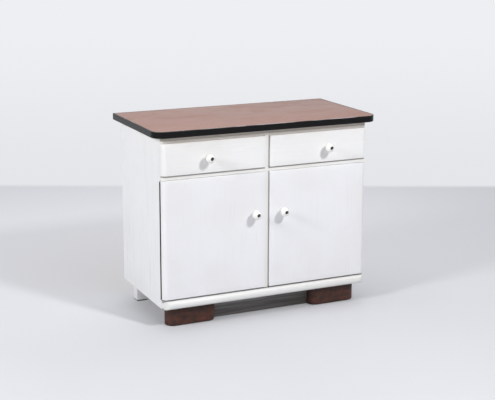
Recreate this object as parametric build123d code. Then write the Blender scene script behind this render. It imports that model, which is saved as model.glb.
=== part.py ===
"""A low wooden sideboard: two drawers over two doors, a linoleum worktop with a black edge, and a base
of blocks and posts. Millimetres, +X to the right, +Y to the back, +Z up. Places are worked out with the
faces of the drawers and doors at y = 0 and the floor at z = 0, and each piece is moved when written."""

import os

from build123d import *

os.makedirs("parts", exist_ok=True)

# Worktop
top_width = 1000.0
top_thickness = 27.0
top_height = 818.0
top_front_overhang = 25.0
top_front_corner_r = 49.0
top_back_corner_r = 3.0
edge_band_width = 4.5
edge_band_round = 2.0
linoleum_thickness = 2.2
linoleum_set_down = 0.3

# Carcass
body_width = 925.0
body_back = 482.0
side_thickness = 20.0
bottom_thickness = 18.0
back_thickness = 5.0
back_rebate = 10.0
back_bottom_lap = 9.0
frame_depth = 22.0
frame_lap = 8.0
stile_lap = 8.3
partition_thickness = 16.0
rear_rail_height = 40.0
bead_set_back = 8.5
bead_play = 1.0
bead_end_r = 12.0

# Recess down the front edge of each side, where the door's corner turns
recess_depth = 13.0
recess_above_door = 4.8

# Full-round rail under the doors
rail_height = 36.8
rail_nose = 15.0
rail_end_corner_r = 36.0

# Drawer and door fronts, and the gaps above, between, below and behind them
front_thickness = 22.0
front_play = 0.8
drawer_to_top = 27.0
drawer_front_height = 129.1
door_to_drawer = 20.2
door_height = 491.1
door_to_rail = 4.8
centre_gap = 19.4
front_outer_flat = 2.0
front_inner_r = 3.0
front_back_r = 1.4
front_edge_r = 1.2

# Drawer boxes
drawer_box_length = 378.0
drawer_box_headroom = 9.1
drawer_wood = 12.0
drawer_bottom_thickness = 5.0
drawer_groove_depth = 6.0
drawer_groove_up = 10.0
drawer_back_drop = 6.0
drawer_side_play = 1.0
drawer_running_gap = 0.3
groove_play = 0.1

# Runners, kickers and stops
runner_height = 20.0
runner_width = 28.0
guide_height = 22.0
guide_play = 0.8
kicker_width = 16.0
kicker_gap = 3.0
stop_length = 12.0
stop_height = 12.0
stop_gap = 0.8

# Shelves and their pegs
shelf_thickness = 16.0
shelf_rise = 255.0
shelf_set_back = 7.2
shelf_back_gap = 4.0
shelf_side_play = 0.6
peg_r = 2.5
peg_out = 9.0
peg_in = 7.0
peg_from_end = 45.0
peg_rows = (-1, 0, 1)
peg_row_pitch = 64.0
peg_fit = 0.02

# Base
foot_length = 218.0
foot_end_in = 25.5
foot_set_back = 1.2
foot_thickness = 37.0
foot_end_flat = 1.0
foot_sole_r = 8.0
kick_end_in = 37.5
kick_thickness = 18.0
kick_floor_gap = 2.0
leg_size = 50.0
leg_side_in = 24.5
leg_back_in = 44.0
leg_edge_r = 2.0
pad_size = 44.0
pad_thickness = 5.0
pad_edge_r = 3.0
corner_block_leg = 15.0
corner_block_length = 60.0
corner_block_margin = 7.0
corner_block_count = 3

# Pivot hinges
pivot_from_side = 9.0
pivot_from_face = 11.0
pivot_pin_r = 3.0
pivot_running_gap = 0.05
pivot_pin_depth = 12.0
hinge_plate_thickness = 2.0
hinge_plate_width = 15.0
hinge_arm_gap = 1.0
hinge_collar_r = 5.0
hinge_collar_gap = 0.3
bush_r = 5.0
bush_length = 14.0
bush_fit = 0.02
hinge_screw_r = 1.6
hinge_screw_head_r = 2.9
hinge_screw_length = 16.0
hinge_screw_pitch = 8.0
hinge_screw_in = 4.5

# Catches
catch_width = 16.0
catch_depth = 20.0
catch_height = 46.0
catch_down = 176.2
catch_edge_r = 2.0
catch_pole_width = 3.0
catch_pole_out = 1.2
catch_pole_inset = 3.0
strike_thickness = 1.5
strike_width = 12.0
strike_height = 34.0
strike_gap = 0.3

# Knobs and their screws
knob_r = 19.5
knob_reach = 34.0
knob_neck_r = 6.5
knob_neck_blend_r = 3.0
knob_foot_r = 9.0
knob_foot_thickness = 3.5
knob_bore_r = 2.6
knob_recess_depth = 6.0
knob_head_play = 0.6
drawer_knob_in = 194.0
door_knob_in = 53.8
door_knob_down = 167.7
knob_screw_head_r = 7.6
knob_screw_dome = 2.4
knob_screw_slot = 1.5
knob_screw_slot_depth = 1.3
knob_screw_r = 2.5
knob_screw_into_wood = 15.0
knob_screw_fit = 0.02
knob_slot_turns = {"drawer_left": 25.0, "drawer_right": 70.0, "door_left": 140.0, "door_right": 100.0}

# Screws through the back panel
back_screw_r = 1.5
back_screw_head_r = 3.2
back_screw_length = 18.0
back_screw_rows = 5
back_screw_margin = 30.0

# Levels and planes that several pieces share. The fronts hang from the worktop, and the base takes
# the height that is left under the rail.
half_body = body_width / 2
inside_x = half_body - side_thickness
underside = top_height - top_thickness
drawer_front_top = underside - drawer_to_top
drawer_front_bottom = drawer_front_top - drawer_front_height
door_top = drawer_front_bottom - door_to_drawer
door_bottom = door_top - door_height
bottom_top = door_bottom - door_to_rail
body_bottom = bottom_top - rail_height
carcass_front = front_thickness + front_play
front_outer_r = front_thickness - front_outer_flat
mid_rail_bottom = door_top - frame_lap
mid_rail_top = drawer_front_bottom + frame_lap
top_rail_bottom = drawer_front_top - frame_lap
frame_back = carcass_front + frame_depth
stile_half = centre_gap / 2 + stile_lap
partition_half = partition_thickness / 2
bottom_under = bottom_top - bottom_thickness
back_front = body_back - back_thickness
runner_back = back_front - frame_depth
foot_front = carcass_front + foot_set_back
foot_back = foot_front + foot_thickness
foot_outer_x = half_body - foot_end_in
foot_inner_x = foot_outer_x - foot_length
foot_end_r = foot_thickness - foot_end_flat
kick_half_width = half_body - kick_end_in
kick_back = foot_back + kick_thickness
leg_outer_x = half_body - leg_side_in
leg_back = body_back - leg_back_in
leg_front = leg_back - leg_size
pivot_x = half_body - pivot_from_side
recess_back = carcass_front + recess_depth
box_outer = inside_x - drawer_side_play
box_inner = stile_half + drawer_side_play
box_bottom = mid_rail_top + drawer_running_gap
box_top = top_rail_bottom - drawer_box_headroom
box_back = front_thickness + drawer_box_length
groove_bottom = box_bottom + drawer_groove_up
shelf_front = frame_back + shelf_set_back
shelf_back = back_front - shelf_back_gap
shelf_top = bottom_top + shelf_rise
shelf_under = shelf_top - shelf_thickness
catch_middle = door_top - catch_down
drawer_knob_x = half_body - drawer_knob_in
door_knob_x = centre_gap / 2 + door_knob_in
door_knob_z = door_top - door_knob_down
knob_recess_r = knob_screw_head_r + knob_head_play
front_reach = knob_reach + (knob_r**2 - knob_recess_r**2) ** 0.5
knob_seat = front_reach - knob_recess_depth
bead_z_mid = (door_top + bead_play, drawer_front_bottom - bead_play)
bead_z_top = (drawer_front_top + bead_play, underside)
hands = {"left": -1, "right": 1}

# The origin is on the floor under the middle of the whole object.
to_origin = Pos(0, -(body_back - front_reach) / 2, 0)


def block(x, y, z):
    """A box from three pairs of limits, each pair in either order."""
    sizes = [abs(pair[1] - pair[0]) for pair in (x, y, z)]
    middle = [(pair[0] + pair[1]) / 2 for pair in (x, y, z)]
    return Pos(*middle) * Box(*sizes)


def upright(solid, x, y):
    """The upright edges of a solid that stand at one place in plan."""
    close = 0.01
    edges = solid.edges().filter_by(Axis.Z)
    return [edge for edge in edges if abs(edge.center().X - x) < close and abs(edge.center().Y - y) < close]


def level(solid, z, without_y=None):
    """The edges that lie at one height, without the straight ones along one depth."""
    close = 0.01
    found = []
    for edge in solid.edges():
        box = edge.bounding_box()
        flat = abs(box.min.Z - z) < close and abs(box.max.Z - z) < close
        left_out = without_y is not None and abs(box.min.Y - without_y) < close and box.size.Y < close
        if flat and not left_out:
            found.append(edge)
    return found


def countersunk(r, head_r, length):
    """A flat-headed wood screw that points down from its head at the origin."""
    head_height = head_r - r
    head = Pos(0, 0, -head_height / 2) * Cone(r, head_r, head_height)
    return head + Pos(0, 0, -length / 2) * Cylinder(r, length)


def write(name, shape):
    """Moves one piece to the shared origin and writes it."""
    export_step(to_origin * shape, f"parts/{name}.step")


# Worktop


def top_outline(inset):
    """The worktop in plan, with wide front corners, drawn in by an inset."""
    front = inset - top_front_overhang
    back = body_back - inset
    plan = Pos(0, (front + back) / 2) * Rectangle(top_width - 2 * inset, back - front)
    plan = fillet(plan.vertices().sort_by(Axis.Y)[:2], top_front_corner_r - inset)
    if top_back_corner_r > inset:
        plan = fillet(plan.vertices().sort_by(Axis.Y)[-2:], top_back_corner_r - inset)
    return plan


def worktop():
    """The core board, the linoleum let into it, and the rounded edge band in two lengths."""
    linoleum_top = top_height - linoleum_set_down
    core_top = linoleum_top - linoleum_thickness
    inner = top_outline(edge_band_width)
    write("top_core", Pos(0, 0, underside) * extrude(inner, core_top - underside))
    write("top_linoleum", Pos(0, 0, core_top) * extrude(inner, linoleum_thickness))
    slab = Pos(0, 0, underside) * extrude(top_outline(0), top_thickness)
    slab = fillet(level(slab, underside) + level(slab, top_height), edge_band_round)
    ring = slab - Pos(0, 0, underside) * extrude(inner, top_thickness)
    behind = block((-top_width, top_width), (body_back - edge_band_width, body_back), (0, top_height))
    write("top_edge_band_front", ring - behind)
    write("top_edge_band_back", ring & behind)


# Carcass


def peg_axes(hand):
    """Where each shelf peg meets its wall: x of the wall, way into the wall, depth."""
    walls = ((inside_x, 1), (partition_half, -1))
    depths = (shelf_front + peg_from_end, shelf_back - peg_from_end)
    return [(hand * wall, hand * way, depth) for wall, way in walls for depth in depths]


def peg(wall, way, depth, z, r, out):
    """A round peg along X that goes into a wall and stands out of it."""
    ends = (wall + way * peg_in, wall - way * out)
    return Pos(sum(ends) / 2, depth, z) * Rot(0, 90, 0) * Cylinder(r, abs(ends[1] - ends[0]))


def peg_holes(hand, inward):
    """Three heights of holes in one wall of a cupboard: its side, or the partition."""
    z_pegs = [shelf_under - peg_r + row * peg_row_pitch for row in peg_rows]
    chosen = [axis for axis in peg_axes(hand) if (abs(axis[0]) < inside_x) == inward]
    return [peg(*axis, z, peg_r + peg_fit, 1) for axis in chosen for z in z_pegs]


def back_screws():
    """Rows of screws that hold the back panel to the sides and the partition."""
    low = bottom_top + back_screw_margin
    high = underside - back_screw_margin
    step = (high - low) / (back_screw_rows - 1)
    screw = Rot(-90, 0, 0) * countersunk(back_screw_r, back_screw_head_r, back_screw_length)
    columns = [-(inside_x + back_rebate / 2), 0, inside_x + back_rebate / 2]
    return [Pos(x, body_back, low + row * step) * screw for x in columns for row in range(back_screw_rows)]


def side_panel(hand):
    """One end of the carcass, with its rebate for the back and its recess behind the door's corner."""
    panel = block((hand * inside_x, hand * half_body), (carcass_front, body_back), (body_bottom, underside))
    rebate_x = (hand * (inside_x - 1), hand * (inside_x + back_rebate))
    panel -= block(rebate_x, (back_front, body_back + 1), (bottom_under - back_bottom_lap, underside + 1))
    recess_top = door_top + recess_above_door
    corners = [
        (carcass_front - 1, bottom_top),
        (recess_back, bottom_top),
        (recess_back, recess_top - recess_depth),
        (carcass_front - 1, recess_top + 1),
    ]
    start = min(hand * inside_x, hand * half_body)
    outline = make_face(Polyline(*[(start, y, z) for y, z in corners], close=True))
    panel -= extrude(outline, side_thickness, dir=(1, 0, 0))
    return panel - peg_holes(hand, False)


def front_bottom_rail():
    """The full-round rail under the doors, its ends rounded in plan."""
    r = (bottom_top - body_bottom) / 2
    nose_y = r - rail_nose
    middle_z = body_bottom + r
    bar = Pos(0, nose_y, middle_z) * Rot(0, 90, 0) * Cylinder(r, body_width)
    bar += block((-half_body, half_body), (nose_y, carcass_front), (body_bottom, bottom_top))
    plan = block((-half_body, half_body), (-rail_nose, carcass_front), (body_bottom, bottom_top))
    ends = upright(plan, -half_body, -rail_nose) + upright(plan, half_body, -rail_nose)
    return bar & fillet(ends, rail_end_corner_r)


def frame():
    """The rails and stiles behind the fronts, the partition, and the rails at the back of the top."""
    across = (-inside_x, inside_x)
    deep = (carcass_front, frame_back)
    stile = (-stile_half, stile_half)
    write("front_bottom_rail", front_bottom_rail())
    write("front_mid_rail", block(across, deep, (mid_rail_bottom, mid_rail_top)))
    write("front_top_rail", block(across, deep, (top_rail_bottom, underside)))
    write("centre_stile_upper", block(stile, deep, (mid_rail_top, top_rail_bottom)))
    write("centre_stile_lower", block(stile, deep, (bottom_top, mid_rail_bottom)))
    partition = block((-partition_half, partition_half), (frame_back, back_front), (bottom_top, underside))
    partition -= peg_holes(-1, True) + peg_holes(1, True) + back_screws()
    write("centre_partition", partition)
    rear_z = (underside - rear_rail_height, underside)
    rear = [
        block((hand * partition_half, hand * inside_x), (runner_back, back_front), rear_z)
        for hand in hands.values()
    ]
    write("rear_top_rails", Compound(rear))


def beads():
    """Beads that stand forward between the fronts: one above, one in the middle and an upright one."""
    deep = (bead_set_back, carcass_front)
    made = []
    for z in (bead_z_top, bead_z_mid):
        bead = block((-half_body, half_body), deep, z)
        ends = upright(bead, -half_body, bead_set_back) + upright(bead, half_body, bead_set_back)
        made.append(fillet(ends, bead_end_r))
    for hand in hands.values():
        housing_x = (hand * (pivot_x - hinge_plate_width / 2), hand * (half_body + 1))
        housing_z = (door_top, door_top + hinge_arm_gap + hinge_plate_thickness)
        made[1] -= block(housing_x, (bead_set_back - 1, carcass_front + 1), housing_z)
    made[1] -= hinge_screws()
    across = (bead_play - centre_gap / 2, centre_gap / 2 - bead_play)
    made.append(block(across, deep, (bead_z_mid[1], bead_z_top[0])))
    made.append(block(across, deep, (bottom_top, bead_z_mid[0])))
    write("front_beads", Compound(made))


def carcass():
    """The two ends, the floor and the back, with the blocks and screws that hold them."""
    screws = back_screws()
    for name, hand in hands.items():
        write(f"side_panel_{name}", side_panel(hand) - screws - hinge_screws())
    across = (-inside_x, inside_x)
    write("bottom_panel", block(across, (carcass_front, back_front), (bottom_under, bottom_top)))
    lap = inside_x + back_rebate
    back = block((-lap, lap), (back_front, body_back), (bottom_under - back_bottom_lap, underside))
    write("back_panel", back - screws)
    write("back_panel_screws", Compound(screws))
    blocks = []
    first = kick_back + corner_block_margin
    last = leg_front - corner_block_margin - corner_block_length
    for hand in hands.values():
        corner = [(0, 0), (-hand * corner_block_leg, 0), (0, -corner_block_leg)]
        for place in range(corner_block_count):
            y = first + place * (last - first) / (corner_block_count - 1)
            points = [(hand * inside_x + x, y, bottom_under + z) for x, z in corner]
            face = make_face(Polyline(*points, close=True))
            blocks.append(extrude(face, corner_block_length, dir=(0, 1, 0)))
    write("corner_blocks", Compound(blocks))


def shelves():
    """One loose shelf in each cupboard, on four pegs."""
    pegs = []
    for name, hand in hands.items():
        x = (hand * (partition_half + shelf_side_play), hand * (inside_x - shelf_side_play))
        write(f"shelf_{name}", block(x, (shelf_front, shelf_back), (shelf_under, shelf_top)))
        pegs += [peg(*axis, shelf_under - peg_r, peg_r, peg_out) for axis in peg_axes(hand)]
    write("shelf_pegs", Compound(pegs))


def drawer_supports():
    """The runners and guide strips of each drawer, the kickers over it and the stops behind it."""
    runners, kickers, stops = [], [], []
    deep = (frame_back, runner_back)
    guide_z = (mid_rail_top, mid_rail_top + guide_height)
    stile_out = stile_half - partition_half
    runner_z = (mid_rail_top - runner_height, mid_rail_top)
    kicker_z = (box_top + kicker_gap, underside)
    stop_y = (box_back + stop_gap, box_back + stop_gap + stop_length)
    stop_z = (mid_rail_top, mid_rail_top + stop_height)
    guide_x = box_inner - guide_play
    for hand in hands.values():
        runners.append(block((hand * inside_x, hand * (inside_x - runner_width)), deep, runner_z))
        wide = hand * (partition_half + runner_width + stile_out)
        runners.append(block((hand * partition_half, wide), deep, runner_z))
        runners.append(block((hand * partition_half, hand * guide_x), deep, guide_z))
        kickers.append(block((hand * inside_x, hand * (inside_x - kicker_width)), deep, kicker_z))
        wide = hand * (partition_half + kicker_width + stile_out)
        kickers.append(block((hand * partition_half, wide), deep, kicker_z))
        stops.append(block((hand * inside_x, hand * (box_outer - drawer_wood)), stop_y, stop_z))
        stops.append(block((hand * guide_x, hand * (box_inner + drawer_wood)), stop_y, stop_z))
    write("drawer_runners", Compound(runners))
    write("drawer_kickers", Compound(kickers))
    write("drawer_stops", Compound(stops))


# Base


def base():
    """Front blocks with rounded ends, the kick board behind them and the two posts at the back."""
    pads = []
    for name, hand in hands.items():
        foot_x = (hand * foot_inner_x, hand * foot_outer_x)
        foot = block(foot_x, (foot_front, foot_back), (0, bottom_under))
        ends = upright(foot, foot_x[0], foot_front) + upright(foot, foot_x[1], foot_front)
        foot = fillet(ends, foot_end_r)
        write(f"front_foot_{name}", fillet(level(foot, 0, foot_back), foot_sole_r))
        leg_x = (hand * (leg_outer_x - leg_size), hand * leg_outer_x)
        leg = block(leg_x, (leg_front, leg_back), (pad_thickness, bottom_under))
        write(f"rear_leg_{name}", fillet(leg.edges().filter_by(Axis.Z), leg_edge_r))
        pad = Pos(sum(leg_x) / 2, (leg_front + leg_back) / 2, pad_thickness / 2)
        pad = pad * Box(pad_size, pad_size, pad_thickness)
        pads.append(fillet(pad.edges().filter_by(Axis.Z), pad_edge_r))
    write("rear_leg_pads", Compound(pads))
    board_x = (-kick_half_width, kick_half_width)
    write("kick_board", block(board_x, (foot_back, kick_back), (kick_floor_gap, bottom_under)))


# Pivot hinges


def hinge_tongue(hand, back_y, low_z):
    """A flat plate that runs forward to the pivot and ends in a round nose."""
    x = (hand * pivot_x - hinge_plate_width / 2, hand * pivot_x + hinge_plate_width / 2)
    z = (low_z, low_z + hinge_plate_thickness)
    nose = Pos(hand * pivot_x, pivot_from_face, sum(z) / 2)
    nose = nose * Cylinder(hinge_plate_width / 2, hinge_plate_thickness)
    return nose + block(x, (pivot_from_face, back_y), z)


def pivot(hand, r, low_z, high_z):
    """A round pin or collar on the door's turning axis."""
    return Pos(hand * pivot_x, pivot_from_face, (low_z + high_z) / 2) * Cylinder(r, high_z - low_z)


def hinge_screws():
    """Two flat-headed screws in each hinge plate: up into the bead above the door, down below it."""
    screw = countersunk(hinge_screw_r, hinge_screw_head_r, hinge_screw_length)
    above = Pos(0, carcass_front - hinge_screw_in, door_top + hinge_arm_gap) * Rot(180, 0, 0)
    below = Pos(0, (carcass_front + recess_back) / 2, bottom_top + hinge_plate_thickness)
    places = [
        hand * pivot_x + step * hinge_screw_pitch / 2 for hand in hands.values() for step in (-1, 1)
    ]
    return [Pos(x, 0, 0) * spot * screw for x in places for spot in (above, below)]


def hinges():
    """The cabinet half of each hinge: a plate and the pin riveted into it."""
    screws = hinge_screws()
    arm_low = door_top + hinge_arm_gap
    for name, hand in hands.items():
        upper = hinge_tongue(hand, carcass_front, arm_low)
        upper += pivot(hand, pivot_pin_r, door_top - pivot_pin_depth, arm_low + hinge_plate_thickness)
        write(f"hinge_upper_{name}", upper - screws)
        lower = hinge_tongue(hand, recess_back, bottom_top)
        lower += pivot(hand, hinge_collar_r, bottom_top, door_bottom - hinge_collar_gap)
        lower += pivot(hand, pivot_pin_r, bottom_top, door_bottom + pivot_pin_depth)
        write(f"hinge_lower_{name}", lower - screws)
    write("hinge_screws", Compound(screws))


def bush_places(length):
    """The two heights at which a door holds a bush, from its ends inwards."""
    return ((door_bottom, door_bottom + length), (door_top - length, door_top))


def hinge_bushes(hand):
    """The two bushes in a door, in which the pins turn."""
    bushes = []
    for low, high in bush_places(bush_length):
        bore = pivot(hand, pivot_pin_r + pivot_running_gap, low, high)
        bushes.append(pivot(hand, bush_r, low, high) - bore)
    return Compound(bushes)


# Catches


def catches():
    """A magnetic catch on each side of the lower stile, with two steel poles that face the door."""
    found = []
    face = front_thickness + strike_thickness + strike_gap
    body_front = face + catch_pole_out
    z = (catch_middle - catch_height / 2, catch_middle + catch_height / 2)
    for hand in hands.values():
        far = stile_half + catch_width
        body = block((hand * stile_half, hand * far), (body_front, body_front + catch_depth), z)
        rounded = upright(body, hand * far, body_front) + level(body, z[0]) + level(body, z[1])
        body = fillet(rounded, catch_edge_r)
        for near in (stile_half + catch_pole_inset, far - catch_pole_inset - catch_pole_width):
            pole_x = (hand * near, hand * (near + catch_pole_width))
            inside_z = (z[0] + catch_pole_inset, z[1] - catch_pole_inset)
            body += block(pole_x, (face, body_front + catch_pole_out), inside_z)
        found.append(body)
    write("door_catches", Compound(found))


def strike(hand):
    """The steel plate on a door's back that the catch holds."""
    middle = stile_half + catch_width / 2
    x = (hand * (middle - strike_width / 2), hand * (middle + strike_width / 2))
    z = (catch_middle - strike_height / 2, catch_middle + strike_height / 2)
    return block(x, (front_thickness, front_thickness + strike_thickness), z)


# Knobs


def knob_place(kind, hand):
    """Where a knob's axis meets its front, pointing out of the front."""
    x, z = {
        "drawer": (drawer_knob_x, drawer_front_bottom + drawer_front_height / 2),
        "door": (door_knob_x, door_knob_z),
    }[kind]
    return Pos(hand * x, 0, z) * Rot(90, 0, 0)


def knob():
    """A turned ball knob with a short neck, a small foot and a round recess for its screw's head."""
    neck_top = knob_reach - (knob_r**2 - knob_neck_r**2) ** 0.5
    body = Pos(0, 0, knob_reach) * Sphere(knob_r)
    body += Pos(0, 0, knob_reach / 2) * Cylinder(knob_neck_r, knob_reach)
    body += Pos(0, 0, knob_foot_thickness / 2) * Cylinder(knob_foot_r, knob_foot_thickness)
    body = fillet(level(body, neck_top), knob_neck_blend_r)
    body -= Pos(0, 0, knob_seat + knob_r) * Cylinder(knob_recess_r, 2 * knob_r)
    return body - Pos(0, 0, knob_reach) * Cylinder(knob_bore_r, 4 * knob_reach)


def knob_screw(turn):
    """The slotted screw that holds a knob: a domed head on a plain shank."""
    dome_r = (knob_screw_head_r**2 + knob_screw_dome**2) / (2 * knob_screw_dome)
    dome = Pos(0, 0, knob_seat + knob_screw_dome - dome_r) * Sphere(dome_r)
    dome -= Pos(0, 0, knob_seat - 2 * dome_r) * Box(4 * dome_r, 4 * dome_r, 4 * dome_r)
    slot_z = knob_seat + knob_screw_dome - knob_screw_slot_depth / 2
    slot_length = 3 * knob_screw_head_r
    slot = Pos(0, 0, slot_z) * Box(slot_length, knob_screw_slot, knob_screw_slot_depth)
    shank_middle = (knob_seat - knob_screw_into_wood) / 2
    shank = Pos(0, 0, shank_middle) * Cylinder(knob_screw_r, knob_seat + knob_screw_into_wood)
    return Rot(0, 0, turn) * (dome - slot) + shank


def knob_screw_hole():
    """The hole that a knob's screw needs in a front."""
    return Cylinder(knob_screw_r + knob_screw_fit, 2 * knob_screw_into_wood)


# Drawers and doors


def front_panel(kind, hand, low, high):
    """A solid drawer or door front, its outer upright edge rounded over almost its whole thickness."""
    near, far = hand * centre_gap / 2, hand * half_body
    panel = block((near, far), (0, front_thickness), (low, high))
    panel = fillet(upright(panel, far, 0), front_outer_r)
    panel = fillet(upright(panel, near, 0), front_inner_r)
    panel = fillet(upright(panel, far, front_thickness), front_back_r)
    edges = level(panel, low, front_thickness) + level(panel, high, front_thickness)
    return fillet(edges, front_edge_r) - knob_place(kind, hand) * knob_screw_hole()


def drawer(name, hand):
    """One drawer: its front, box, knob and screw."""
    body = f"drawer_{name}"
    inner_x = (hand * (box_inner + drawer_wood), hand * (box_outer - drawer_wood))
    groove_x = (
        hand * (box_inner + drawer_wood - drawer_groove_depth),
        hand * (box_outer - drawer_wood + drawer_groove_depth),
    )
    groove_z = (groove_bottom, groove_bottom + drawer_bottom_thickness + groove_play)
    groove_y = (front_thickness - drawer_groove_depth, box_back)
    groove = block(groove_x, groove_y, groove_z)
    front = front_panel("drawer", hand, drawer_front_bottom, drawer_front_top)
    write(f"{body}_front", front - groove)
    side_y = (front_thickness, box_back)
    for side, x in (("inner", box_inner), ("outer", box_outer - drawer_wood)):
        board = block((hand * x, hand * (x + drawer_wood)), side_y, (box_bottom, box_top))
        write(f"{body}_side_{side}", board - groove)
    back_z = (groove_z[1], box_top - drawer_back_drop)
    write(f"{body}_back", block(inner_x, (box_back - drawer_wood, box_back), back_z))
    floor_x = tuple(x + sign * groove_play for x, sign in zip(groove_x, (hand, -hand)))
    floor_y = (groove_y[0] + groove_play, box_back)
    floor = block(floor_x, floor_y, (groove_bottom, groove_bottom + drawer_bottom_thickness))
    write(f"{body}_bottom", floor)
    fit_knob("drawer", name, hand)


def door(name, hand):
    """One door: its panel, bushes, strike plate, knob and screw."""
    panel = front_panel("door", hand, door_bottom, door_top)
    panel -= [pivot(hand, bush_r + bush_fit, low, high) for low, high in bush_places(bush_length)]
    write(f"door_{name}_panel", panel)
    write(f"door_{name}_hinge_bushes", hinge_bushes(hand))
    write(f"door_{name}_strike", strike(hand))
    fit_knob("door", name, hand)


def fit_knob(kind, name, hand):
    """Writes one knob and its screw."""
    body = f"{kind}_{name}"
    write(f"{body}_knob", knob_place(kind, hand) * knob())
    write(f"{body}_knob_screw", knob_place(kind, hand) * knob_screw(knob_slot_turns[body]))


worktop()
carcass()
frame()
beads()
shelves()
drawer_supports()
base()
hinges()
catches()
for side_name, side_hand in hands.items():
    drawer(side_name, side_hand)
    door(side_name, side_hand)
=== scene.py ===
# %% [markdown]
# # A painted sideboard with a linoleum worktop
# The joinery comes ready made: every board, pin and screw of the sideboard stands in the frame at its
# real size. This lesson gives it its looks. It models again the pieces that a flat board can't stand for,
# such as the rounded edge band, the ball knobs and the nosed rail, and it mixes one finish for each
# material. Lengths are metres throughout, and every piece stays where the frame has it.

# %% Load the frame
import math

import bmesh
import bpy
from mathutils import Matrix, Vector, noise


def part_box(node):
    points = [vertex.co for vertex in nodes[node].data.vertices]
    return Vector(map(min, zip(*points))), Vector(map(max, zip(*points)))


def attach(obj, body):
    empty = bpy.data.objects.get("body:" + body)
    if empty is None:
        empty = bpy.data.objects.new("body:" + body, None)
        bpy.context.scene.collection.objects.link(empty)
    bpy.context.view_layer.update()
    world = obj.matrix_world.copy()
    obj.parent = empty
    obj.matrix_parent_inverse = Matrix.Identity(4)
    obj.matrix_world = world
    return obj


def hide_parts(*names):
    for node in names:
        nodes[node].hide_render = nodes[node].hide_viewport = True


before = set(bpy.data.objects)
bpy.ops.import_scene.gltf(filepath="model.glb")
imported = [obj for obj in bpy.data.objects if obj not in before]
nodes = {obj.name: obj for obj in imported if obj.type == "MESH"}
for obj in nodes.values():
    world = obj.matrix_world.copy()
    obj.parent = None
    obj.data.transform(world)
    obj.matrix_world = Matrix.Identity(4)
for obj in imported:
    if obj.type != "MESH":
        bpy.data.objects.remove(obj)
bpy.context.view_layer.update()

MM = 0.001

# %% [markdown]
# ## Camera
# The view is from the front and a little from the left, at about eye height, through a moderate telephoto
# lens. A long lens keeps the upright edges nearly parallel, as furniture is usually shown. The lens shift
# only puts the sideboard where it stands in the frame.

# %% Camera
camera_place = Vector((-2.0804, -4.4637, 1.6548))
camera_turn = math.radians(-24.63)
camera_tilt = math.radians(90 - 12.634)
camera_roll = 0.0018

camera_data = bpy.data.cameras.new("camera")
camera_data.lens = 86.12
camera_data.sensor_width = 36.0
camera_data.shift_x = 0.018
camera_data.shift_y = -0.0475
camera = bpy.data.objects.new("camera", camera_data)
bpy.context.scene.collection.objects.link(camera)
turned = Matrix.Rotation(camera_turn, 3, "Z") @ Matrix.Rotation(camera_tilt, 3, "X")
camera.rotation_euler = (turned @ Matrix.Rotation(camera_roll, 3, "Z")).to_euler()
camera.location = camera_place
bpy.context.scene.camera = camera
bpy.context.scene.view_settings.view_transform = "Standard"
print("camera", tuple(round(value, 3) for value in camera.location))

# %% [markdown]
# ## A short way to write finishes
# A finish is a shader with a few textures in front of it. All the patterns read the object's own
# coordinates, so they stay on a drawer when it slides. Writing the same five nodes again for each one
# would hide the recipe, so a small class adds them: a stretched noise, a range, a mix and a relief.

# %% Finish class


def tone(red, green, blue):
    """A colour from its 0 to 255 screen values."""
    channels = []
    for value in (red, green, blue):
        share = value / 255
        channels.append(share / 12.92 if share < 0.04045 else ((share + 0.055) / 1.055) ** 2.4)
    return (*channels, 1.0)


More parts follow.
